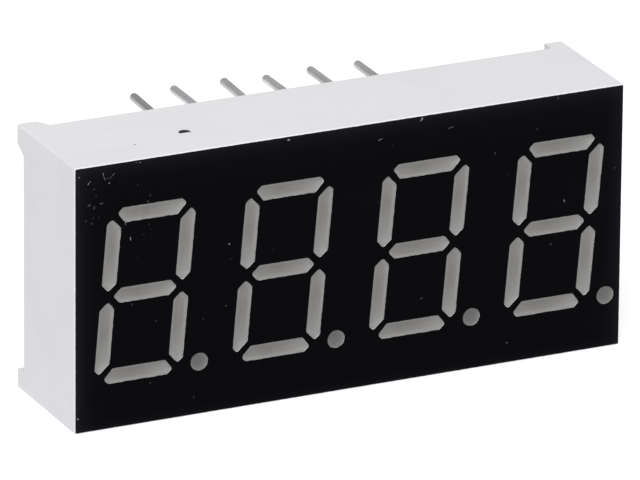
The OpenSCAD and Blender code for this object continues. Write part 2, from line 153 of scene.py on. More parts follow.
# The tallest solder joint over the usual one, and a fillet's top over its foot in width
TALLEST_JOINT = 1.1
NECK_SHARE = 0.66
# Room under the resin, which keeps it off the board's own surface
BOARD_CLEARANCE = 5 * WELD
# The camera looks this far round from +Y towards +X and this far down, in degrees
CAMERA_AZIMUTH = 25.3694
CAMERA_ELEVATION = 20.848
CAMERA_ROLL = 0.5058
# The point it looks at and its distance, in millimetres
CAMERA_AIM = (0.9481, -0.928, 5.8503)
CAMERA_DISTANCE = 507.4
CAMERA_LENS = 567.48
SENSOR = 36.0
# The lamp's direction, and its distance, its width and the floor's half width in metres
KEY_SIDE = (-0.32, -0.44, 0.84)
KEY_DISTANCE = 0.6
KEY_SIZE = 0.35
FLOOR_REACH = 3.0


def srgb(red, green, blue):
    """The linear colour of a tone written from 0 to 255."""
    return tuple(
        c / 12.92 if c <= 0.04045 else ((c + 0.055) / 1.055) ** 2.4
        for c in (red / 255, green / 255, blue / 255)
    )


def toned(tone, *gains):
    """A colour made darker or lighter, by one gain or by one for each channel."""
    gains = gains * 3 if len(gains) == 1 else gains
    return [min(c * gain, 1) for c, gain in zip(tone, gains)]


# ---- Node trees ----


def pick(sockets, key):
    """The socket at a place, or the one in use that has a name."""
    if isinstance(key, int):
        return sockets[key]
    return next(s for s in sockets if s.enabled and s.name == key)


def operator_node(operation, swapped=False):
    """The method with which an operator adds this Math node."""

    def apply(self, other):
        values = (other, self) if swapped else (self, other)
        return self.graph.maths(operation, *values)

    return apply


class Signal:
    """A node's output. An expression on signals adds its Math nodes to their tree."""

    def __init__(self, graph, socket):
        self.graph = graph
        self.socket = socket

    def __getitem__(self, name):
        return Signal(self.graph, pick(self.socket.node.outputs, name))

    def __neg__(self):
        return self * -1

    def __abs__(self):
        return self.graph.maths("ABSOLUTE", self)

    __add__, __radd__ = operator_node("ADD"), operator_node("ADD", swapped=True)
    __sub__, __rsub__ = operator_node("SUBTRACT"), operator_node("SUBTRACT", swapped=True)
    __mul__, __rmul__ = operator_node("MULTIPLY"), operator_node("MULTIPLY", swapped=True)
    __truediv__, __rtruediv__ = operator_node("DIVIDE"), operator_node("DIVIDE", swapped=True)
    __pow__, __rpow__ = operator_node("POWER"), operator_node("POWER", swapped=True)
    __lt__, __gt__ = operator_node("LESS_THAN"), operator_node("GREATER_THAN")


class Graph:
    """A node tree, and the one way in which nodes are added to it."""

    def __init__(self, tree):
        self.tree = tree

    def add(self, kind, *values, output=0, **named):
        """Adds a node and returns one of its outputs. Values feed its inputs in order. A name with
        a capital is an input's, and one without is a setting's of the node itself."""
        node = self.tree.nodes.new(kind)
        self.fill(node, *values, **named)
        return Signal(self, pick(node.outputs, output)) if node.outputs else None

    def fill(self, node, *values, **named):
        """Sets a node up and feeds its inputs, but for those that are None."""
        inputs = dict(enumerate(values))
        for name, value in named.items():
            if name[0].isupper():
                inputs[name.replace("_", " ")] = value
            else:
                setattr(node, name, value)
        for key, value in inputs.items():
            if value is not None:
                self.feed(pick(node.inputs, key), value)

    def feed(self, socket, value):
        if isinstance(value, Signal):
            self.tree.links.new(value.socket, socket)
        elif isinstance(value, list) and isinstance(value[0], Signal):
            for signal in value:
                self.tree.links.new(signal.socket, socket)
        elif socket.type == "RGBA":
            socket.default_value = (*value[:3], 1)
        else:
            socket.default_value = value

    def maths(self, operation, *values):
        return self.add("ShaderNodeMath", *values, operation=operation)

    def vector(self, operation, *values, output=0):
        return self.add("ShaderNodeVectorMath", *values, operation=operation, output=output)

    def scaled(self, vector, size):
        return self.add("ShaderNodeVectorMath", vector, operation="SCALE", Scale=size)

    def joined(self, x, y, z):
        return self.add("ShaderNodeCombineXYZ", x, y, z)

    def split(self, vector):
        x = self.add("ShaderNodeSeparateXYZ", vector)
        return x, x["Y"], x["Z"]

    def fade(self, value, start, end, low=0.0, high=1.0):
        """Goes smoothly from low to high as the value goes from start to end."""
        return self.add(
            "ShaderNodeMapRange", value, start, end, low, high, interpolation_type="SMOOTHSTEP"
        )

    def blend(self, factor, first, second):
        """Mixes two colours."""
        return self.add(
            "ShaderNodeMix", data_type="RGBA", Factor=factor, A=first, B=second, output="Result"
        )

    def noise(self, place, size, detail=2.0, seed=0.0, output=0):
        """Cloudy noise with lumps of about this size, in the unit of the place."""
        inputs = {"Vector": place, "W": seed, "Scale": 1 / size, "Detail": detail}
        return self.add("ShaderNodeTexNoise", noise_dimensions="4D", output=output, **inputs)


class Finish(Graph):
    """A material with one Principled shader. Its patterns read the piece's place in millimetres."""

    def __init__(self, name, **constants):
        self.material = bpy.data.materials.new(name)
        self.material.use_nodes = True
        super().__init__(self.material.node_tree)
        self.tree.nodes.clear()
        self.shader = self.add("ShaderNodeBsdfPrincipled", **constants)
        self.add("ShaderNodeOutputMaterial", Surface=self.shader)
        self.place = self.scaled(self.add("ShaderNodeTexCoord", output="Object"), 1 / MM)
        self.x, self.y, self.z = self.split(self.place)

    def set(self, **named):
        self.fill(self.shader.socket.node, **named)

    def carried(self, name):
        """A number that the piece's points carry."""
        return self.add("ShaderNodeAttribute", attribute_name=name, output="Fac")

    def lumps(self, size, detail=2.0, seed=0.0, stretch=(1, 1, 1)):
        """Noise over the piece. A stretch above 1 makes its lumps shorter along that axis."""
        place = self.place
        if stretch != (1, 1, 1):
            place = self.vector("MULTIPLY", place, stretch)
        return self.noise(place, size, detail, seed)

    def emboss(self, height, depth, normal=None):
        """Bump from a height of 0 to 1, over a depth in millimetres."""
        return self.add("ShaderNodeBump", Height=height, Distance=depth * MM, Normal=normal)

    def apart(self, axes, *centre):
        """Distance from a point in millimetres, measured along these axes only."""
        signals = (getattr(self, axis) for axis in axes)
        squares = ((signal - place) ** 2 for signal, place in zip(signals, centre))
        return self.maths("SQRT", sum(squares))


SOCKET_KINDS = {float: "NodeSocketFloat", int: "NodeSocketInt", tuple: "NodeSocketVector"}


class Form(Graph):
    """A Geometry Nodes tree. Each keyword is the name of an input, with its first value."""

    def __init__(self, name, **sizes):
        self.name = name
        tree = bpy.data.node_groups.new(name, "GeometryNodeTree")
        super().__init__(tree)
        mesh = "NodeSocketGeometry"
        tree.interface.new_socket("Geometry", in_out="INPUT", socket_type=mesh)
        tree.interface.new_socket("Geometry", in_out="OUTPUT", socket_type=mesh)
        self.identifiers = {}
        for size, value in sizes.items():
            kind = SOCKET_KINDS[type(value)]
            item = tree.interface.new_socket(self.label(size), in_out="INPUT", socket_type=kind)
            item.default_value = value
            self.identifiers[size] = item.identifier
        self.given = self.add("NodeGroupInput", output="Geometry")
        self.place = self.add("GeometryNodeInputPosition")

    @staticmethod
    def label(size):
        return size.replace("_", " ").capitalize()

    def __getitem__(self, size):
        return self.given[self.label(size)]

    def weld(self, mesh, distance=WELD):
        return self.add("GeometryNodeMergeByDistance", Geometry=mesh, Distance=distance)

    def moved(self, mesh, place=None, offset=None, chosen=None):
        return self.add("GeometryNodeSetPosition", mesh, chosen, place, offset)

    def turned(self, mesh, angle, shift):
        """Turns a mesh about X, and then shifts it."""
        turn = (math.radians(angle), 0, 0)
        return self.add("GeometryNodeTransform", Geometry=mesh, Rotation=turn, Translation=shift)

    def laid_flat(self, mesh):
        """Lays the display's front on the XY plane: up is towards the viewer."""
        return self.turned(mesh, -90, self.joined(0, 0, self["front"]))

    def stood_up(self, mesh):
        return self.turned(mesh, 90, self.joined(0, self["front"], 0))

    def parted(self, mesh, chosen):
        """Only the chosen faces."""
        return self.add("GeometryNodeSeparateGeometry", mesh, chosen, domain="FACE")

    def stored(self, mesh, name, value):
        """Lets the mesh's points carry a number for its material."""
        return self.add("GeometryNodeStoreNamedAttribute", Geometry=mesh, Name=name, Value=value)

    def halfway(self, first, second):
        return self.scaled(self.vector("ADD", first, second), 0.5)

    def frayed(self, mesh, lump, detail, seed, sway):
        """Moves the points of a flat mesh about by up to half of the sway."""
        cloud = self.noise(self.place, lump, detail, seed, output=1)
        drift = self.vector("SUBTRACT", cloud, (0.5, 0.5, 0.5))
        drift = self.vector("MULTIPLY", drift, (1, 1, 0))
        return self.moved(mesh, offset=self.scaled(drift, sway))

    def border(self):
        """True on the edges that have one face only."""
        count = self.add("GeometryNodeInputMeshEdgeNeighbors")
        return self.add("FunctionNodeCompare", data_type="INT", operation="EQUAL", A=count, B=1)

    def thickened(self, skin, depth):
        """A closed solid from a skin that faces up, and what of it is the new underside."""
        under = self.add(
            "GeometryNodeExtrudeMesh",
            Mesh=self.add("GeometryNodeFlipFaces", skin),
            Offset_Scale=depth,
            Individual=False,
        )
        return self.add("GeometryNodeJoinGeometry", [skin, under]), under["Top"]

    def close(self, mesh, finish, smooth=True):
        """Ends the tree with one plain mesh that has one material, and gives the form back."""
        shaded = self.add("GeometryNodeSetShadeSmooth", Geometry=mesh, Shade_Smooth=smooth)
        plain = self.add("GeometryNodeRealizeInstances", shaded)
        painted = self.add("GeometryNodeSetMaterial", Geometry=plain, Material=finish.material)
        self.add("NodeGroupOutput", painted)
        return self

    def grow(self, name, mesh, **sizes):
        """A new object: the tree's result on this mesh, with these inputs, as a plain mesh."""
        piece = placed(name, mesh)
        modifier = piece.modifiers.new(self.name, "NODES")
        modifier.node_group = self.tree
        for size, value in sizes.items():
            modifier[self.identifiers[size]] = value
        graph = bpy.context.evaluated_depsgraph_get()
        piece.data = bpy.data.meshes.new_from_object(
            piece.evaluated_get(graph), preserve_all_data_layers=True, depsgraph=graph
        )
        piece.modifiers.clear()
        piece.data.name = name
        if not piece.data.polygons:
            raise RuntimeError(f"{name} came out empty")
        return piece


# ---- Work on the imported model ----


def paint(finish, *nodes):
    """Gives CAD nodes their material."""
    for node in nodes:
        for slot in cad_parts[node].material_slots:
            slot.material = finish.material


def enter(piece, slot, *nodes):
    """Puts a finished piece on the display in place of CAD nodes."""
    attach(piece, BODY)
    if nodes:
        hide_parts(*nodes)


def placed(name, data):
    """A new object in the scene."""
    thing = bpy.data.objects.new(name, data)
    bpy.context.scene.collection.objects.link(thing)
    return thing


def points_mesh(name, points, **values):
    """Loose vertices that carry named numbers."""
    mesh = bpy.data.meshes.new(name)
    mesh.from_pydata([tuple(p) for p in points], [], [])
    for label, numbers in values.items():
        mesh.attributes.new(label, "FLOAT", "POINT").data.foreach_set("value", numbers)
    return mesh


def lead_feet():
    """Where each lead leaves the potting."""
    board_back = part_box("circuit_board")[1].y
    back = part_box("rear_potting")[1].y
    feet = []
    for pin in PINS:
        points = [v.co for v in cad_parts[f"pin_{pin}"].data.vertices]
        rooted = [p for p in points if abs(p.y - board_back) < WELD]
        foot = sum(rooted, Vector()) / len(rooted)
        feet.append(Vector((foot.x, back, foot.z)))
    return feet


# ---- Settings ----


def colour(name, description, *tones):
    tone = srgb(*tones)
    return FloatVectorProperty(
        name=name, description=description, subtype="COLOR", size=3, min=0, max=1, default=tone
    )


def number(name, description, value, kind=FloatProperty, **limits):
    return kind(name=name, description=description, default=value, **limits)


def length(name, description, millimetres):
    return number(name, description, millimetres * MM, unit="LENGTH", precision=5)


def share(name, description, value):
    return number(name, description, value, subtype="FACTOR", min=0, max=1)


class HousingSettings(bpy.types.PropertyGroup):
    plastic: colour("Plastic", "White of the moulded reflector", 229, 228, 234)
    rear_band: colour("Rear band", "Tone of the walls behind the board's front", 229, 229, 231)
    # Painted highlight: the lighter tone of the moulding's front edges stands in for light caught
    # by their rounding
    bright: colour("Bright edge", "Tone of the moulding's edges around the face", 241, 241, 242)
    ink: colour("Ink dot", "Colour of the marking dot on the top side", 30, 28, 38)
    dot: length("Dot", "Diameter of the marking dot", 0.62)
    grain: length("Grain", "Depth of the moulded surface's fine grain", 0.0015)
    edge: length("Edge", "Radius to which the moulding's edges catch light", 0.05)


class FaceSettings(bpy.types.PropertyGroup):
    ink: colour("Ink", "Black of the screen print", 10, 10, 13)
    # Painted sheen: the lighter tone that the print takes towards the face's edges
    painted_edge_sheen: colour("Worn edge", "Tone of the print where it thins out at the edges", 30, 29, 36)
    step: length("Step", "Spacing of the points along the print's edges", 0.07)
    ragged: length("Raggedness", "How far the print's edges wander", 0.02)
    set_back: length("Set back", "Height left over the print for the scratches", 0.004)


class ScratchSettings(bpy.types.PropertyGroup):
    bare: colour("Bare", "Colour of the plastic that shows in a scratch", 150, 148, 156)
    stain: colour("Stain", "Colour of the ink that stays in a faint scratch", 20, 20, 23)
    specks: number("Specks", "Number of tiny flaws in the print", 60, IntProperty)
    seed: number("Seed", "Picks another scatter of specks", 11, IntProperty)


class CastingSettings(bpy.types.PropertyGroup):
    epoxy: colour("Epoxy", "Grey of the light-guide epoxy", 130, 129, 126)
    point: colour("Point epoxy", "Darker grey of the decimal points", 110, 109, 110)
    rim: colour("Rim", "Tone of the thin epoxy beside the white walls", 154, 153, 152)
    # Painted light: how much lighter the segments get towards their ends, more at the right or
    # lower end
    painted_end_light: share("Gleam", "How much the lit end walls show through the segments", 0.8)
    rise: length("Rise", "Height of the epoxy at the walls over the packed model's", 0.052)
    sag: length("Sag", "How far the epoxy sinks between the walls", 0.085)
    lean: number("Lean", "Lean of the digits", math.radians(5), unit="ROTATION")


class BoardSettings(bpy.types.PropertyGroup):
    mask: colour("Solder mask", "Green over the laminate", 30, 84, 50)
    track: colour("Covered copper", "Green over the copper tracks", 84, 140, 72)
    tin: colour("Tinned land", "Bare land around a lead", 176, 174, 168)


class DieSettings(bpy.types.PropertyGroup):
    crystal: colour("Crystal", "Colour of the LED dies", 196, 150, 72)
    gold: colour("Gold", "Colour of the bond wires", 232, 190, 96)


class SolderSettings(bpy.types.PropertyGroup):
    metal: colour("Solder", "Colour of the solder", 178, 178, 176)
    hollow: number("Hollow", "How strongly the fillets curve in", 2.4)
    seed: number("Seed", "Turns the joints and sizes them differently", 5, IntProperty)


class LeadSettings(bpy.types.PropertyGroup):
    tin: colour("Tin", "Colour of the tinned leads", 206, 207, 209)
    dull: colour("Dull patches", "Colour where the tin has dulled", 190, 190, 191)
    roughness: share("Roughness", "Roughness of the drawn, tinned wire", 0.4)


class PottingSettings(bpy.types.PropertyGroup):
    resin: colour("Resin", "Tint of the potting", 214, 202, 158)
    haze: share("Haze", "How much of the board the resin hides", 0.15)
    dip: length("Dip", "How far the resin lies below its edges", 0.16)
    creep: length("Creep", "Width of the fillet at the walls", 0.5)
    step: length("Step", "Spacing of the points of the resin's surface", 0.12)


class StageSettings(bpy.types.PropertyGroup):
    floor: colour("Floor", "Colour of the floor", 231, 231, 231)
    glow: number("Glow", "Light that whitens the floor in view", 0.45)
    sky: number("Sky", "Light from all sides", 0.5)
    key: number("Key", "Power of the soft lamp, in watts", 2.29)


# ---- Materials ----


def lead_distance(finish, feet):
    """Distance from the nearest lead, seen along the leads."""
    pitch = abs(feet[1].x - feet[0].x) / MM
    low, high = feet[0].z / MM, feet[-1].z / MM
    first = feet[0].x / MM
    across = finish.maths("WRAP", finish.x - first, pitch / 2, -pitch / 2)
    up = abs(finish.z - (low + high) / 2) - (high - low) / 2
    return finish.maths("SQRT", across ** 2 + up ** 2)


def reflector_plastic(look):
    """White filled plastic with faint flow marks, soft edges, a painted highlight along the face's
    edges and a printed dot.
    """
    finish = Finish("reflector_plastic", IOR=1.5)
    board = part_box("circuit_board")[0].y / MM
    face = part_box("housing")[0].y / MM
    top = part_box("housing")[1].z / MM
    behind = finish.fade(finish.y, *(board + depth for depth in REAR_BAND))
    plastic = finish.blend(behind, look.plastic, look.rear_band)
    cloud = finish.lumps(3.0, 3, 1.0, (0.6, 1, 1)) + 0.4 * finish.lumps(0.5, 3, 2.0)
    stained = finish.fade(cloud, 0.62, 0.95, 0, 0.45)
    plastic = finish.blend(stained, plastic, toned(look.plastic, 0.93))
    # Painted highlight: the plastic is lighter in a thin band just behind the face, where the
    # rounded front edge catches the lamp
    edge = finish.fade(finish.y, *(face + depth for depth in FRONT_HIGHLIGHT_BAND), 1, 0)
    plastic = finish.blend(edge, plastic, look.bright)
    wobble = 0.05 * finish.lumps(0.12, 2, 3.0)
    dot = finish.apart("xy", *DOT) + wobble
    radius = look.dot / 2 / MM
    cut = DOT[1] - DOT_CUT * radius
    chord = finish.fade(finish.y, cut, cut + 0.1 * radius)
    inked = finish.fade(dot, radius, radius + 0.05, 1, 0) * chord
    speck = finish.apart("xy", *SPECK) + wobble
    speck = finish.fade(speck, SPECK_RADIUS, SPECK_RADIUS + 0.06, 0.8, 0)
    marked = finish.maths("MAXIMUM", inked, speck) * (finish.z > top - TOP_SKIN)
    finish.set(Base_Color=finish.blend(marked, plastic, look.ink))
    finish.set(Roughness=0.4 + 0.1 * finish.lumps(0.8, 2, 4.0) + 0.5 * marked)
    edges = finish.add("ShaderNodeBevel", samples=6, Radius=look.edge)
    grain = 0.7 * finish.lumps(0.07, 3, 5.0) + 0.3 * finish.lumps(0.9, 2, 6.0)
    finish.set(Normal=finish.emboss(grain, look.grain / MM, edges))
    return finish


def print_ink(look):
    """Matt black screen ink, with painted sheen that makes it lighter towards the edges of the
    face.
    """
    finish = Finish("print_ink", Specular_IOR_Level=0.015)
    low, high = (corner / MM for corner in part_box("front_print"))
    # How far it is to each edge, how far in the painted sheen reaches there, and how strong it is
    edges = (
        (finish.x - low.x, 0.4, 0.9),
        (high.x - finish.x, 0.4, 0.7),
        (high.z - finish.z, 0.42, 0.75),
        (finish.z - low.z, 0.16, 0.6),
    )
    # Painted sheen, strongest along the left edge and narrowest along the bottom, with random
    # lighter patches of ink
    thin = sum(
        strength * finish.maths("EXPONENT", distance * (-1 / reach))
        for distance, reach, strength in edges
    )
    cloud = finish.lumps(2.2, 4, 1.0)
    thin = thin * (0.75 + 0.5 * cloud) + finish.fade(cloud, 0.55, 0.8, 0, 0.05)
    # The print's black, lightened by the painted sheen
    finish.set(Base_Color=finish.blend(finish.maths("MINIMUM", thin, 1), look.ink, look.painted_edge_sheen))
    weave = 0.5 * finish.lumps(0.09, 3, 2.0) + 0.5 * finish.lumps(0.6, 2, 3.0)
    finish.set(Roughness=0.52 + 0.2 * finish.lumps(0.5, 3, 4.0))
    finish.set(Normal=finish.emboss(weave, 0.002))
    return finish


def bare_scratch(look):
    """Plastic laid bare in the print, still partly stained by the ink."""
    finish = Finish("bare_scratch", Roughness=0.6)
    stain = finish.carried("tone") * (0.7 + 0.5 * finish.lumps(0.05, 2, 1.0))
    finish.set(Base_Color=finish.blend(stain, look.stain, look.bare))
    finish.set(Normal=finish.emboss(finish.lumps(0.03, 2, 2.0), 0.002))
    return finish


def filled_epoxy(name, epoxy, rim, painted_end_light=0.0):
    """Epoxy with a fine white filler. It is lighter where it wets the white walls. With painted end
    light it also gets lighter towards a segment's ends, where the end walls show through it, and
    more towards the right or lower end: painted light from the lamp on those walls."""
    finish = Finish(name, Specular_IOR_Level=0.35)
    near = finish.fade(finish.carried("wall"), 0.0, WALL_GLOW, 1, 0) ** 2
    cloud = 0.6 * finish.lumps(0.35, 3, 1.0) + 0.4 * finish.lumps(0.06, 2, 2.0)
    cool, warm = toned(epoxy, 0.95, 0.93, 0.97), toned(epoxy, 1.04, 1.04, 0.98)
    body = finish.blend(finish.fade(cloud, 0.3, 0.7), cool, warm)
    if painted_end_light:
        # Painted light: lighter towards both ends from the darkest place, most towards the right or
        # lower end
        beyond = finish.carried("along") - DEEPEST
        far = finish.maths("MAXIMUM", beyond / FAR_REACH, 0) ** 1.4
        close = finish.maths("MAXIMUM", beyond / -NEAR_REACH, 0) ** 1.5
        body = finish.blend(painted_end_light * far + NEAR_SHARE * painted_end_light * close, body, rim)
    finish.set(Base_Color=finish.blend(near, body, rim))
    finish.set(Roughness=0.4 + 0.15 * finish.lumps(0.25, 3, 3.0))
    ripple = 0.6 * finish.lumps(0.3, 2, 4.0) + 0.4 * finish.lumps(0.05, 2, 5.0)
    finish.set(Normal=finish.emboss(ripple, 0.003))
    return finish


def board_laminate(look):
    """Green solder mask with the weave of the glass cloth faintly under it."""
    finish = Finish("board_laminate", Roughness=0.3, Coat_Roughness=0.15)
    across, up = (
        finish.maths("SINE", place * (2 * math.pi / CLOTH_PITCH)) for place in (finish.x, finish.z)
    )
    weave = 0.5 + 0.25 * across * up + 0.25 * finish.lumps(0.25, 2, 1.0)
    finish.set(Base_Color=finish.blend(weave, look.mask, toned(look.mask, 1.35)))
    finish.set(Coat_Weight=0.25 + 0.2 * finish.lumps(2.0, 2, 2.0))
    finish.set(Normal=finish.emboss(weave, 0.004))
    return finish


def copper_foil(look, feet):
    """Copper under the solder mask, and bare tinned lands around the leads."""
    finish = Finish("copper_foil", Coat_Roughness=0.15)
    bare = finish.fade(lead_distance(finish, feet), LAND_RADIUS, LAND_RADIUS + 0.04, 1, 0)
    cloud = finish.lumps(0.6, 3, 1.0)
    covered = finish.blend(cloud, toned(look.track, 0.85), look.track)
    finish.set(Base_Color=finish.blend(bare, covered, look.tin))
    finish.set(Metallic=0.15 + 0.8 * bare)
    finish.set(Roughness=0.3 + 0.1 * cloud)
    finish.set(Coat_Weight=0.35 * (1 - bare))
    finish.set(Normal=finish.emboss(finish.lumps(0.12, 3, 2.0), 0.004))
    return finish


def worn_metal(name, clean, dull, roughness, lump, patches, depth, stretch=(1, 1, 1), metallic=1.0):
    """Metal with dull patches and with streaks or lumps in its surface. Its tone comes too."""
    finish = Finish(name, Metallic=metallic)
    patch = finish.fade(finish.lumps(patches, 3, 1.0, stretch), 0.42, 0.66)
    streak = finish.lumps(lump, 3, 2.0, stretch)
    tone = finish.blend(patch, clean, dull)
    finish.set(Base_Color=tone)
    finish.set(Roughness=roughness - 0.06 + 0.12 * streak + 0.08 * patch)
    finish.set(Normal=finish.emboss(streak, depth))
    return finish, tone


def tinned_lead(look, feet):
    """Tinned wire, drawn along its length; the lead behind the dot has dulled most."""
    drawn = (1, 0.12, 1)
    finish, tone = worn_metal(
        "tinned_lead", look.tin, look.dull, look.roughness, 0.05, 0.3, 0.003, drawn, 0.9
    )
    odd = finish.apart("xz", feet[-1].x / MM, feet[-1].z / MM)
    odd = finish.fade(odd, 0.5, 0.6, TARNISH, 0)
    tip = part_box("pin_1")[1].y / MM
    cut = finish.fade(finish.y, *(tip - depth for depth in CUT_END), 0, TARNISH)
    finish.set(Base_Color=finish.blend(odd + cut, tone, toned(look.dull, 0.45)))
    return finish


def clear_potting(look):
    """Hazy, faintly yellow resin with a glossy skin and a few bubbles."""
    finish = Finish("clear_potting", IOR=1.5)
    cloud = finish.lumps(1.6, 3, 1.0)
    finish.set(Base_Color=finish.blend(cloud, look.resin, toned(look.resin, 1.15)))
    bubble = finish.add("ShaderNodeTexVoronoi", Vector=finish.place, Scale=0.7)
    bubbled = finish.fade(bubble, 0.03, 0.06, 1, 0)
    hazy = look.haze - 0.04 + 0.08 * cloud + 0.25 * bubbled
    finish.set(Alpha=finish.maths("MINIMUM", hazy, 1))
    finish.set(Roughness=0.1 + 0.1 * cloud)
    finish.set(Normal=finish.emboss(finish.lumps(1.2, 2, 2.0), 0.02))
    return finish


# ---- Forms ----


def printed_face(finish):
    """The print's outline with the slight raggedness of ink, closed to a thin sheet."""
    form = Form("Printed face", front=0.0, step=0.1 * MM, ragged=0.0, set_back=0.0, thickness=0.0)
    near = form.split(form.place)[1] < form["front"] + WELD
    faces = form.laid_flat(form.parted(form.weld(form.given), near))
    edges = form.add("GeometryNodeMeshToCurve", Mesh=faces, Selection=form.border())
    even = form.add("GeometryNodeResampleCurve", mode="LENGTH", Curve=edges, Length=form["step"])
    ragged = form.frayed(even, 0.25 * MM, 3, 2.0, 2 * form["ragged"])
    sheet = form.add("GeometryNodeFillCurve", mode="TRIANGLES", Curve=ragged)
    sheet = form.moved(sheet, offset=form.joined(0, 0, -form["set_back"]))
    body, _ = form.thickened(sheet, form["thickness"] - form["set_back"])
    return form.close(form.stood_up(form.weld(body)), finish, smooth=False)


def face_scratches(finish):
    """One flat chip on each point, sized and turned by the numbers that the point carries."""
    form = Form(
        "Face scratches", front=0.0, thickness=0.003 * MM, ragged=0.02 * MM, narrow=0.08 * MM
    )

    def carried(name):
        return form.add("GeometryNodeInputNamedAttribute", Name=name, output="Attribute")

    chips = form.add(
        "GeometryNodeInstanceOnPoints",
        Points=form.laid_flat(form.given),
        Instance=form.add("GeometryNodeMeshCircle", fill_type="NGON", Vertices=14, Radius=0.5),
        Rotation=form.joined(0, 0, carried("turn")),
        Scale=form.joined(carried("long"), carried("wide"), 1),
    )
    flat = form.add("GeometryNodeRealizeInstances", chips)
    # Narrow chips fray less
    sway = form["ragged"] * form.maths("MINIMUM", 1, carried("wide") / form["narrow"])
    body, _ = form.thickened(form.frayed(flat, 0.08 * MM, 2, 5.0, sway), form["thickness"])
    return form.close(form.stood_up(body), finish, smooth=False)


def casting(finish):
    """Epoxy in one cavity: hollow in front, from wall to wall, and closed at the board."""
    form = Form(
        "Casting",
        front=0.0,
        start=(0.0, 0.0, 0.0),
        end=(0.0, 0.0, 0.0),
        lean=0.0,
        rise=0.0,
        sag=0.1 * MM,
        half_width=0.4 * MM,
        columns=56,
        rows=18,
        heading=1.0,
        reach=1 * MM,
    )
    solid = form.laid_flat(form.weld(form.given))
    _, _, height = form.split(form.place)

    def upright(place):
        """The shift that takes a place's lean away."""
        return form.joined(form.split(place)[1] * -form["lean"], 0, 0)

    def corners(mesh):
        straight = form.moved(mesh, offset=upright(form.place))
        low = form.add("GeometryNodeBoundBox", straight, output="Min")
        return low, low["Max"]

    top = form.parted(solid, height > -WELD)
    floor_level = form.split(corners(solid)[0])[2]
    bottom = form.parted(solid, height < floor_level + WELD)
    # Walls on the front's outline, half above it and half below, that rays along it can meet
    raised = form.add(
        "GeometryNodeExtrudeMesh",
        mode="EDGES",
        Mesh=top,
        Selection=form.border(),
        Offset_Scale=form["reach"],
    )
    walls = form.parted(raised, raised["Side"])
    walls = form.moved(walls, offset=form.joined(0, 0, form["reach"] * -0.5))

    # A grid from wall to wall. Its rows and columns crowd towards the walls
    grid = form.add("GeometryNodeMeshGrid", 1, 1, form["columns"], form["rows"])
    along_share, across_share, _ = (
        0.5 + 0.3 * s - 0.35 * form.maths("COSINE", (s + 0.5) * math.pi)
        for s in form.split(form.place)
    )
    between = abs(form.split(form.place)[0]) < 0.5 - 1e-4
    span = form.vector("SUBTRACT", form["end"], form["start"])
    both = form.joined(along_share, along_share, 0)
    spine = form.vector("MULTIPLY_ADD", span, both, form["start"])
    across = form.vector("NORMALIZE", form.vector("CROSS_PRODUCT", (0, 0, 1), span))

    def room(direction):
        """How far the wall is from the spine."""
        hit = form.add(
            "GeometryNodeRaycast",
            Target_Geometry=walls,
            Source_Position=spine,
            Ray_Direction=direction,
            Ray_Length=2 * form["reach"],
        )
        return hit * hit["Hit Distance"]

    left = room(across)
    right = room(form.scaled(across, -1))
    step = ((left + right) * across_share - right) * between
    skin = form.moved(grid, place=form.vector("ADD", spine, form.scaled(across, step)))
    wall = form.add("GeometryNodeProximity", walls, target_element="FACES", output="Distance")
    skin = form.stored(skin, "wall", wall / MM)
    outwards = form.vector("SUBTRACT", form.place, form.halfway(form["start"], form["end"]))
    along = form.vector("DOT_PRODUCT", outwards, form.vector("NORMALIZE", span), output="Value")
    skin = form.stored(skin, "along", along * form["heading"] / MM)
    away = 1 - form.maths("MINIMUM", wall / form["half_width"], 1)
    sunk = form["rise"] - form["sag"] * (1 - away ** 2)
    skin = form.moved(skin, offset=form.joined(0, 0, sunk))
    body, under = form.thickened(skin, form["reach"])

    # The underside takes the size and place of the cavity's floor
    front_low, front_high = corners(top)
    back_low, back_high = corners(bottom)
    shrunk = form.add(
        "ShaderNodeMapRange",
        data_type="FLOAT_VECTOR",
        clamp=False,
        Vector=form.vector("ADD", form.place, upright(form.place)),
        From_Min=form.vector("MULTIPLY", front_low, (1, 1, 0)),
        From_Max=form.vector("MULTIPLY", front_high, (1, 1, 0)),
        To_Min=back_low,
        To_Max=back_high,
        output="Vector",
    )
    leant = form.vector("SUBTRACT", shrunk, upright(shrunk))
    body = form.moved(body, place=leant, chosen=under)
    return form.close(form.stood_up(form.weld(body, FINE_WELD)), finish)


def solder_fillet(finish):
    """A ring of solder on each point that curves up from its land to the lead."""
    form = Form(
        "Solder fillet",
        height=0.35 * MM,
        foot=0.45 * MM,
        neck=0.3 * MM,
        lead=0.27 * MM,
        hollow=2.0,
        uneven=0.06,
        seed=0,
    )
    grid = form.add("GeometryNodeMeshGrid", 1, 1, FILLET_SIDES + 1, OUTLINE_STEPS + 1)
    x, y, _ = form.split(form.place)
    turn = (x + 0.5) * (2 * math.pi)
    # After the steps up the outside comes one in to the lead, one down it and one back out
    step = (y + 0.5) * OUTLINE_STEPS
    inward, downward, outward = (step > FILLET_STEPS + n + 0.5 for n in range(3))
    up = form.maths("MINIMUM", step / FILLET_STEPS, 1) * (1 - outward)
    slope = form["neck"] + (form["foot"] - form["neck"]) * (1 - up) ** form["hollow"]
    bulge = 1 + form["uneven"] * form.maths("SINE", turn * 2) * (1 - up)
    inside = inward - outward
    radius = slope * bulge * (1 - inside) + form["lead"] * inside
    rise = form["height"] * up * (1 - downward)
    x, z = radius * form.maths("COSINE", turn), radius * form.maths("SINE", turn)
    ring = form.joined(x, rise, -z)
    fillet = form.weld(form.moved(grid, place=ring))
    chance = form.add("FunctionNodeRandomValue", Seed=form["seed"], output="Value")
    fillets = form.add(
        "GeometryNodeInstanceOnPoints",
        Points=form.given,
        Instance=fillet,
        Rotation=form.joined(0, chance * (2 * math.pi), 0),
        Scale=form.joined(1, 0.9 + 0.2 * chance, 1),
    )
    return form.close(fillets, finish)


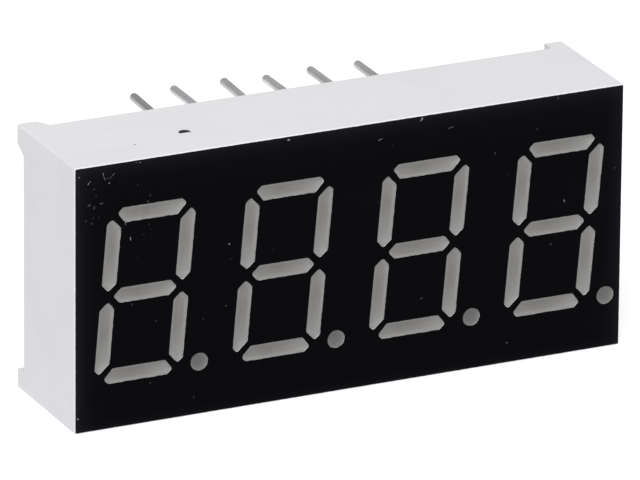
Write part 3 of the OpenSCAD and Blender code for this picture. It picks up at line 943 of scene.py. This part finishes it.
def resin_pool(finish):
    """Potting over the board: flat in the middle and drawn up at the walls and the leads."""
    form = Form(
        "Resin pool",
        low=(0.0, 0.0, 0.0),
        high=(0.0, 0.0, 0.0),
        step=0.1 * MM,
        dip=0.1 * MM,
        creep=0.4 * MM,
        floor=0.0,
        lead=0.22 * MM,
        depth=1 * MM,
    )
    width, _, height = form.split(form.vector("SUBTRACT", form["high"], form["low"]))
    columns, rows = (form.maths("CEIL", side / form["step"]) for side in (width, height))
    grid = form.add("GeometryNodeMeshGrid", width, height, columns, rows)
    x, y, _ = form.split(form.place)
    rim = form.maths("MINIMUM", width / 2 - abs(x), height / 2 - abs(y))
    # The leads' feet, laid flat with the grid's middle at the origin
    centre = form.halfway(form["high"], form["low"])
    feet = form.moved(form.given, offset=form.scaled(centre, -1))
    feet = form.turned(feet, 90, (0, 0, 0))
    feet = form.moved(feet, place=form.vector("MULTIPLY", form.place, (1, -1, 0)))
    lead = form.add("GeometryNodeProximity", feet, target_element="POINTS", output="Distance")
    climb = form.maths("EXPONENT", rim / form["creep"] * -1)
    # It climbs the thin leads less far and less high than the walls
    collar = 0.7 * form.maths("EXPONENT", (lead - form["lead"]) / form["creep"] * -2.5)
    collar = form.maths("MINIMUM", collar, 0.8)
    sway = form.noise(form.place, 4 * MM, 2, 3.0) - 0.5
    level = form["dip"] * (form.maths("MAXIMUM", climb, collar) - 1 + 0.25 * sway * (1 - climb))
    skin = form.moved(grid, offset=form.joined(0, 0, level))
    body, under = form.thickened(skin, form["depth"])
    back = form.split(form["high"])[1]
    body = form.moved(body, place=form.joined(x, y, form["floor"] - back), chosen=under)
    # Up becomes towards the back
    body = form.turned(body, -90, (0, 0, 0))
    middle_x, _, middle_z = form.split(centre)
    shift = form.joined(middle_x, back, middle_z)
    return form.close(form.moved(form.weld(body), offset=shift), finish)


# ---- Operators ----


class PieceOperator(bpy.types.Operator):
    """What the operators share: each makes or finishes some pieces of the display."""

    bl_options = {"REGISTER", "UNDO"}

    @property
    def settings(self):
        return bpy.context.scene.led_display


class FinishHousing(PieceOperator):
    """Gives the moulded reflector its white plastic"""

    bl_idname = "led_display.finish_housing"
    bl_label = "Finish the housing"

    def execute(self, context):
        paint(reflector_plastic(self.settings.housing), "housing")
        return {"FINISHED"}


class PrintFace(PieceOperator):
    """Prints the black face around the segments"""

    bl_idname = "led_display.print_face"
    bl_label = "Print the face"

    def execute(self, context):
        look = self.settings.face
        low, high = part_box("front_print")
        form = printed_face(print_ink(look))
        piece = form.grow(
            "printed_face",
            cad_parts["front_print"].data.copy(),
            front=low.y,
            step=look.step,
            ragged=look.ragged,
            set_back=look.set_back,
            thickness=high.y - low.y,
        )
        enter(piece, "black_print", "front_print")
        return {"FINISHED"}


class ScratchFace(PieceOperator):
    """Lays bare the scratches and specks in the print"""

    bl_idname = "led_display.scratch_face"
    bl_label = "Scratch the face"

    def execute(self, context):
        look = self.settings.scratches
        low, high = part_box("front_print")
        centre = (low + high) / 2
        flaws = []
        for x, z, long, wide, turn, tone in SCRATCHES:
            place = Vector((centre.x + x * MM, low.y, centre.z + z * MM))
            flaws.append((place, long * MM, wide * MM, math.radians(turn), tone))
        flaws += scattered_specks(look, low, high)
        places, long, wide, turn, tone = zip(*flaws)
        mesh = points_mesh("scratch_points", places, long=long, wide=wide, turn=turn, tone=tone)
        piece = face_scratches(bare_scratch(look)).grow("face_scratches", mesh, front=low.y)
        enter(piece, "reflector_plastic")
        return {"FINISHED"}


class CastSegments(PieceOperator):
    """Casts the epoxy into the segments and decimal points"""

    bl_idname = "led_display.cast_segments"
    bl_label = "Cast the segments"

    def execute(self, context):
        look = self.settings.castings
        segments = casting(filled_epoxy("segment_epoxy", look.epoxy, look.rim, look.painted_end_light))
        points = casting(filled_epoxy("point_epoxy", look.point, look.epoxy))
        for digit in DIGITS:
            for part in (*(f"segment_{letter}" for letter in LETTERS), "point"):
                node = f"digit_{digit}_{part}"
                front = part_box(node)[0].y
                start, end = longest_line(node, front)
                to_the_right_or_down = end[0] - start[0] > end[1] - start[1]
                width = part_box("digit_1_point" if part == "point" else "digit_1_segment_g")
                form = points if part == "point" else segments
                piece = form.grow(
                    f"casting_{digit}_{part}",
                    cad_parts[node].data.copy(),
                    front=front,
                    start=start,
                    end=end,
                    lean=math.tan(look.lean),
                    rise=look.rise,
                    sag=look.sag,
                    half_width=(width[1].z - width[0].z) / 2,
                    heading=1.0 if to_the_right_or_down else -1.0,
                )
                enter(piece, "segment_epoxy", node)
        return {"FINISHED"}


class BuildBoard(PieceOperator):
    """Gives the circuit board its solder mask and copper"""

    bl_idname = "led_display.build_board"
    bl_label = "Finish the board"

    def execute(self, context):
        look = self.settings.board
        paint(board_laminate(look), "circuit_board")
        paint(copper_foil(look, lead_feet()), "front_copper", "rear_copper")
        return {"FINISHED"}


class MountDies(PieceOperator):
    """Gives the LED dies and their bond wires crystal and gold"""

    bl_idname = "led_display.mount_dies"
    bl_label = "Finish the dies"

    def execute(self, context):
        look = self.settings.dies
        crystal = Finish("die_crystal", Roughness=0.25)
        cloud = crystal.lumps(0.06, 2, 1.0)
        tone = crystal.blend(cloud, toned(look.crystal, 0.6), look.crystal)
        crystal.set(Base_Color=tone, Normal=crystal.emboss(cloud, 0.002))
        dull = toned(look.gold, 0.85)
        gold, _ = worn_metal("bond_gold", look.gold, dull, 0.22, 0.02, 0.12, 0.0005)
        paint(crystal, *(f"led_dies_{digit}" for digit in DIGITS))
        paint(gold, *(f"bond_wires_{digit}" for digit in DIGITS))
        return {"FINISHED"}


class SolderLeads(PieceOperator):
    """Draws the solder up between the lands and the leads"""

    bl_idname = "led_display.solder_leads"
    bl_label = "Solder the leads"

    def execute(self, context):
        look = self.settings.solder
        low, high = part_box("solder_joints")
        feet = [Vector((foot.x, low.y, foot.z)) for foot in lead_feet()]
        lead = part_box("pin_1")
        land = feet[0].x - low.x
        dull = toned(look.metal, 0.8)
        finish, _ = worn_metal("solder", look.metal, dull, 0.3, 0.1, 0.6, 0.006)
        piece = solder_fillet(finish).grow(
            "solder_fillets",
            points_mesh("solder_points", feet),
            height=(high.y - low.y) / TALLEST_JOINT,
            foot=land,
            neck=land * NECK_SHARE,
            lead=(lead[1].x - lead[0].x) / 2,
            hollow=look.hollow,
            seed=look.seed,
        )
        enter(piece, "solder", "solder_joints")
        return {"FINISHED"}


class TinLeads(PieceOperator):
    """Gives the leads their tinned finish"""

    bl_idname = "led_display.tin_leads"
    bl_label = "Tin the leads"

    def execute(self, context):
        look = self.settings.leads
        finish = tinned_lead(look, lead_feet())
        paint(finish, *(f"pin_{pin}" for pin in PINS))
        return {"FINISHED"}


class PourPotting(PieceOperator):
    """Pours the clear resin over the back of the board"""

    bl_idname = "led_display.pour_potting"
    bl_label = "Pour the potting"

    def execute(self, context):
        look = self.settings.potting
        low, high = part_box("rear_potting")
        feet = lead_feet()
        piece = resin_pool(clear_potting(look)).grow(
            "potting",
            points_mesh("lead_feet", feet),
            low=low,
            high=high,
            step=look.step,
            dip=look.dip,
            creep=look.creep,
            floor=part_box("circuit_board")[1].y + BOARD_CLEARANCE,
        )
        enter(piece, "clear_potting", "rear_potting")
        return {"FINISHED"}


class SetStage(PieceOperator):
    """Sets the display on a pale floor, with soft light and a camera"""

    bl_idname = "led_display.set_stage"
    bl_label = "Set the stage"

    def execute(self, context):
        look = self.settings.stage
        lay_floor(look)
        light_scene(look)
        place_camera()
        return {"FINISHED"}


def scattered_specks(look, low, high):
    """Tiny flaws over the print, more of them at the top left."""
    chance = random.Random(look.seed)
    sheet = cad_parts["front_print"].data
    places, faces = [v.co for v in sheet.vertices], [p.vertices for p in sheet.polygons]
    sheet = BVHTree.FromPolygons(places, faces)
    # From in front of the sheet, at each corner of the room that a speck needs
    around = [Vector((x, -100, z)) * CLEARANCE for x in (-1, 1) for z in (-1, 1)]
    least, most = SPECK_SIZES
    specks = []
    while len(specks) < look.specks:
        across, up = chance.random() ** 1.3, 1 - chance.random() ** 1.5
        place = Vector((low.x + across * (high.x - low.x), low.y, low.z + up * (high.z - low.z)))
        size = (least + (most - least) * chance.random() ** 2) * MM
        long = size * (1 + 2 * chance.random() ** 3)
        turn, tone = chance.uniform(0, 180), 0.01 + 0.16 * chance.random() ** 2
        if all(sheet.ray_cast(place + corner, Vector((0, 1, 0)))[0] for corner in around):
            specks.append((place, long, size, math.radians(turn), tone))
    return specks


def longest_line(node, front):
    """The two corners of a casting's front that lie farthest apart, laid flat."""
    corners = [v.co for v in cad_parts[node].data.vertices if abs(v.co.y - front) < WELD]
    corners = sorted({(round(c.x, 7), round(c.z, 7)) for c in corners})
    pairs = ((math.dist(a, b), a, b) for i, a in enumerate(corners) for b in corners[:i])
    _, start, end = max(pairs)
    return (*start, 0.0), (*end, 0.0)


def lay_floor(look):
    """A pale floor that keeps the display's shadow, and is white where rays go straight to it."""
    mesh = bpy.data.meshes.new("floor")
    signs = ((-1, -1), (1, -1), (1, 1), (-1, 1))
    corners = [(x * FLOOR_REACH, y * FLOOR_REACH, 0) for x, y in signs]
    mesh.from_pydata(corners, [], [(0, 1, 2, 3)])
    floor = placed("floor", mesh)
    finish = Finish("floor", Roughness=0.9, Specular_IOR_Level=0.1)
    cloud = finish.lumps(60, 2, 1.0)
    finish.set(Base_Color=finish.blend(cloud, toned(look.floor, 0.98), look.floor))
    finish.set(Emission_Color=(1, 1, 1))
    finish.set(Emission_Strength=look.glow * straight_ray(finish, "Is Glossy Ray"))
    mesh.materials.append(finish.material)


def straight_ray(graph, *others):
    """1 for what the camera sees directly or through something clear, or on other rays."""
    seen = path = graph.add("ShaderNodeLightPath", output="Is Camera Ray")
    for ray in ("Is Transmission Ray", *others):
        seen = graph.maths("MAXIMUM", seen, path[ray])
    return seen


def light_scene(look):
    """Even light from all sides, and a soft lamp above and to the left."""
    world = bpy.data.worlds.new("studio")
    world.use_nodes = True
    graph = Graph(world.node_tree)
    graph.tree.nodes.clear()
    seen = straight_ray(graph)
    strength = seen + look.sky * (1 - seen)
    light = graph.add("ShaderNodeBackground", Color=(1, 1, 1), Strength=strength)
    graph.add("ShaderNodeOutputWorld", Surface=light)
    bpy.context.scene.world = world
    lamp = bpy.data.lights.new("key", "AREA")
    lamp.shape = "DISK"
    lamp.size = KEY_SIZE
    lamp.energy = look.key
    key = placed("key", lamp)
    key.location = Vector(KEY_SIDE).normalized() * KEY_DISTANCE
    key.rotation_euler = (-key.location).to_track_quat("-Z", "Y").to_euler()


def place_camera():
    """A long lens from the left, a little above the display."""
    azimuth, elevation = math.radians(CAMERA_AZIMUTH), math.radians(CAMERA_ELEVATION)
    towards = Vector(
        (
            math.sin(azimuth) * math.cos(elevation),
            math.cos(azimuth) * math.cos(elevation),
            -math.sin(elevation),
        )
    )
    roll = Quaternion((0, 0, 1), math.radians(CAMERA_ROLL))
    data = bpy.data.cameras.new("camera")
    data.sensor_width = SENSOR
    data.lens = CAMERA_LENS
    data.clip_start = 0.01
    camera = placed("camera", data)
    camera.rotation_mode = "QUATERNION"
    camera.rotation_quaternion = towards.to_track_quat("-Z", "Y") @ roll
    camera.location = Vector(CAMERA_AIM) * MM - towards * CAMERA_DISTANCE * MM
    bpy.context.scene.camera = camera
    bpy.context.scene.view_settings.view_transform = "Standard"


# ---- Add-on ----


class DisplaySettings(bpy.types.PropertyGroup):
    housing: PointerProperty(type=HousingSettings)
    face: PointerProperty(type=FaceSettings)
    scratches: PointerProperty(type=ScratchSettings)
    castings: PointerProperty(type=CastingSettings)
    board: PointerProperty(type=BoardSettings)
    dies: PointerProperty(type=DieSettings)
    solder: PointerProperty(type=SolderSettings)
    leads: PointerProperty(type=LeadSettings)
    potting: PointerProperty(type=PottingSettings)
    stage: PointerProperty(type=StageSettings)


OPERATORS = (
    FinishHousing,
    PrintFace,
    ScratchFace,
    CastSegments,
    BuildBoard,
    MountDies,
    SolderLeads,
    TinLeads,
    PourPotting,
    SetStage,
)


class DisplayPanel(bpy.types.Panel):
    """Lists the steps that dress the display"""

    bl_idname = "VIEW3D_PT_led_display"
    bl_label = "LED display"
    bl_space_type = "VIEW_3D"
    bl_region_type = "UI"
    bl_category = "LED display"

    def draw(self, context):
        for operator in OPERATORS:
            self.layout.operator(operator.bl_idname)


CLASSES = (
    HousingSettings,
    FaceSettings,
    ScratchSettings,
    CastingSettings,
    BoardSettings,
    DieSettings,
    SolderSettings,
    LeadSettings,
    PottingSettings,
    StageSettings,
    DisplaySettings,
    *OPERATORS,
    DisplayPanel,
)


def register():
    for entry in CLASSES:
        bpy.utils.register_class(entry)
    bpy.types.Scene.led_display = PointerProperty(type=DisplaySettings)


def unregister():
    del bpy.types.Scene.led_display
    for entry in reversed(CLASSES):
        bpy.utils.unregister_class(entry)


def main():
    register()
    for operator in OPERATORS:
        group, name = operator.bl_idname.split(".")
        getattr(getattr(bpy.ops, group), name)()


if __name__ == "__main__":
    main()
